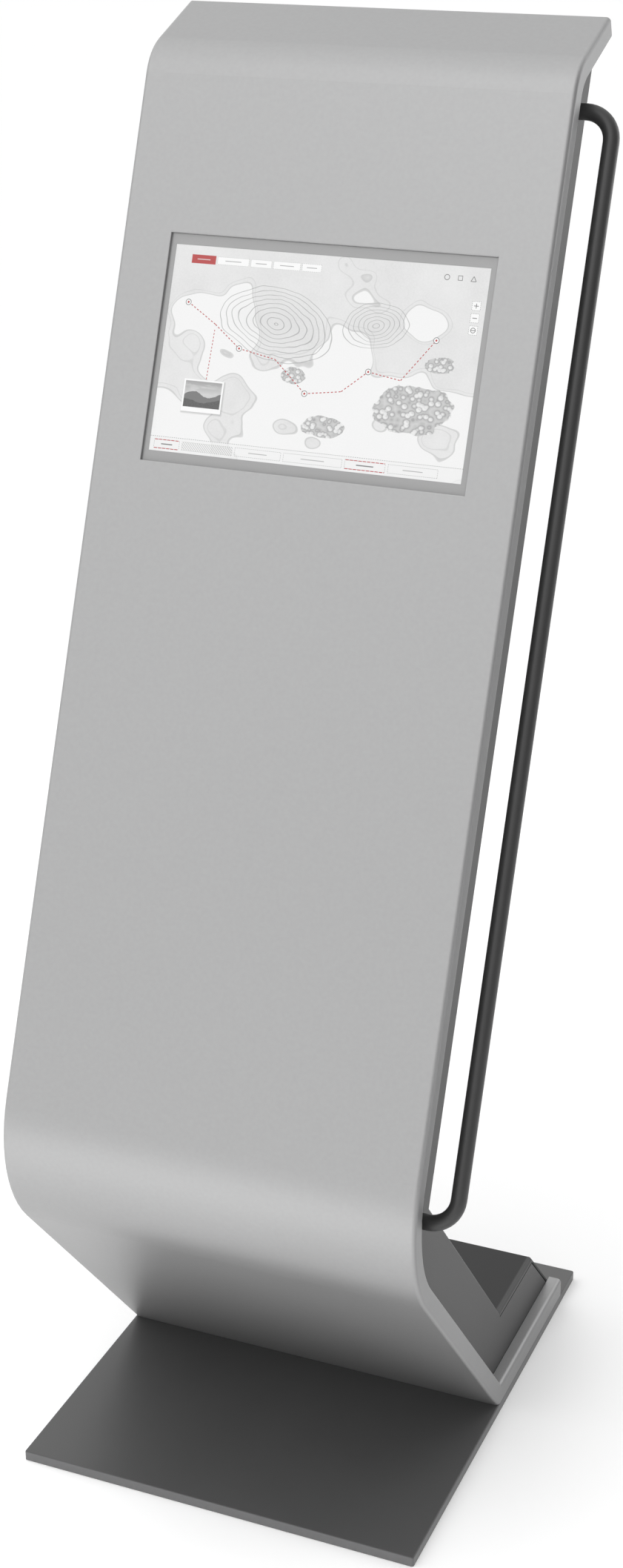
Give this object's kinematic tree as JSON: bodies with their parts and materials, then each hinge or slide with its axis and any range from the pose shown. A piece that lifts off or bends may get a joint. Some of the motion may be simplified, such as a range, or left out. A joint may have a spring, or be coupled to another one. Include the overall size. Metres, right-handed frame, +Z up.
{
  "type": "park interpretation sign",
  "caption": "Free-standing leaning sign for a park: a folded silver metal band on a floor plate, with a touch screen, a housing behind it and a side tube bow.",
  "frame": {"origin": "mid-width on the floor, under the line where the front band's diagonal part meets the floor plate", "axes": "+Z up, +X to the right seen from the front, +Y to the back; the screen faces -Y and up"},
  "size_m": [0.5365, 0.633, 1.6478],
  "materials": {
    "plate_grey": "fine satin powder coat, dark grey",
    "shell_silver": "satin silver-grey coat with a very fine grain",
    "housing_grey": "satin dark grey powder coat",
    "rail_black": "satin black coat",
    "screen_glass": "clear glass with a printed border, bonded to the picture",
    "display_metal": "dark sheet metal",
    "seal_rubber": "matt",
    "zinc_steel": "zinc coated",
    "steel_screws": "stainless",
    "hinge_steel": "stainless, satin",
    "computer_aluminium": "black anodised",
    "supply_aluminium": "plain folded sheet",
    "terminal_plastic": "moulded",
    "fan_plastic": "moulded, fine grain",
    "guard_chrome": "bright wire",
    "lock_chrome": "bright",
    "inlet_plastic": "moulded",
    "rocker_plastic": "moulded"
  },
  "bodies": {
    "stele": {"base_plate": "plate_grey", "front_shell": "shell_silver", "side_plate_right": "housing_grey", "side_plate_left": "housing_grey", "panel_back": "housing_grey", "diagonal_back": "housing_grey", "foot_cover": "housing_grey", "rear_angles": "zinc_steel", "panel_back_screws": "steel_screws", "diagonal_back_screws": "steel_screws", "foot_cover_screws": "steel_screws", "cross_members": "zinc_steel", "leg_bolts": "steel_screws", "side_rail": "rail_black", "rail_inserts": "zinc_steel", "rail_washers": "steel_screws", "rail_bolts": "steel_screws", "screen_gasket": "seal_rubber", "touch_glass": "screen_glass", "display_module": "display_metal", "display_brackets": "zinc_steel", "bracket_studs": "steel_screws", "equipment_plate": "zinc_steel", "media_computer": "computer_aluminium", "computer_heatsink": "computer_aluminium", "power_supply": "supply_aluminium", "terminal_block": "terminal_plastic", "equipment_screws": "steel_screws", "fan_frame": "fan_plastic", "fan_guard": "guard_chrome", "fan_screws": "steel_screws", "door_seal": "seal_rubber", "hinge_frame_leaves": "hinge_steel", "hinge_pins": "hinge_steel", "hinge_frame_screws": "steel_screws", "power_inlet": "inlet_plastic", "inlet_screws": "steel_screws"},
    "service_door": {"service_door": "housing_grey", "hinge_door_leaves": "hinge_steel", "hinge_door_screws": "steel_screws", "lock_barrel": "lock_chrome", "lock_nut": "steel_screws"},
    "lock": {"lock_plug": "lock_chrome", "lock_cam": "zinc_steel"},
    "fan": {"fan_rotor": "fan_plastic"},
    "switch": {"switch_rocker": "rocker_plastic"}
  },
  "joints": [
    {"name": "door_hinge", "type": "hinge", "parent": "stele", "child": "service_door", "pos_m": [-0.203, 0.02308, 1.03551], "axis": [0, 0.3636, 0.9316], "range_deg": [0, 110]},
    {"name": "lock_turn", "type": "hinge", "parent": "service_door", "child": "lock", "pos_m": [0.158, 0.02029, 1.03661], "axis": [0, -0.9316, 0.3636], "range_deg": [0, 90]},
    {"name": "fan_spin", "type": "hinge", "parent": "stele", "child": "fan", "pos_m": [0, 0.1692, 1.47013], "axis": [0, 0.9316, -0.3636], "continuous": true},
    {"name": "switch_tip", "type": "hinge", "parent": "stele", "child": "switch", "pos_m": [-0.12, 0.20808, 0.0783], "axis": [1, 0, 0], "range_deg": [0, 18]}
  ]
}
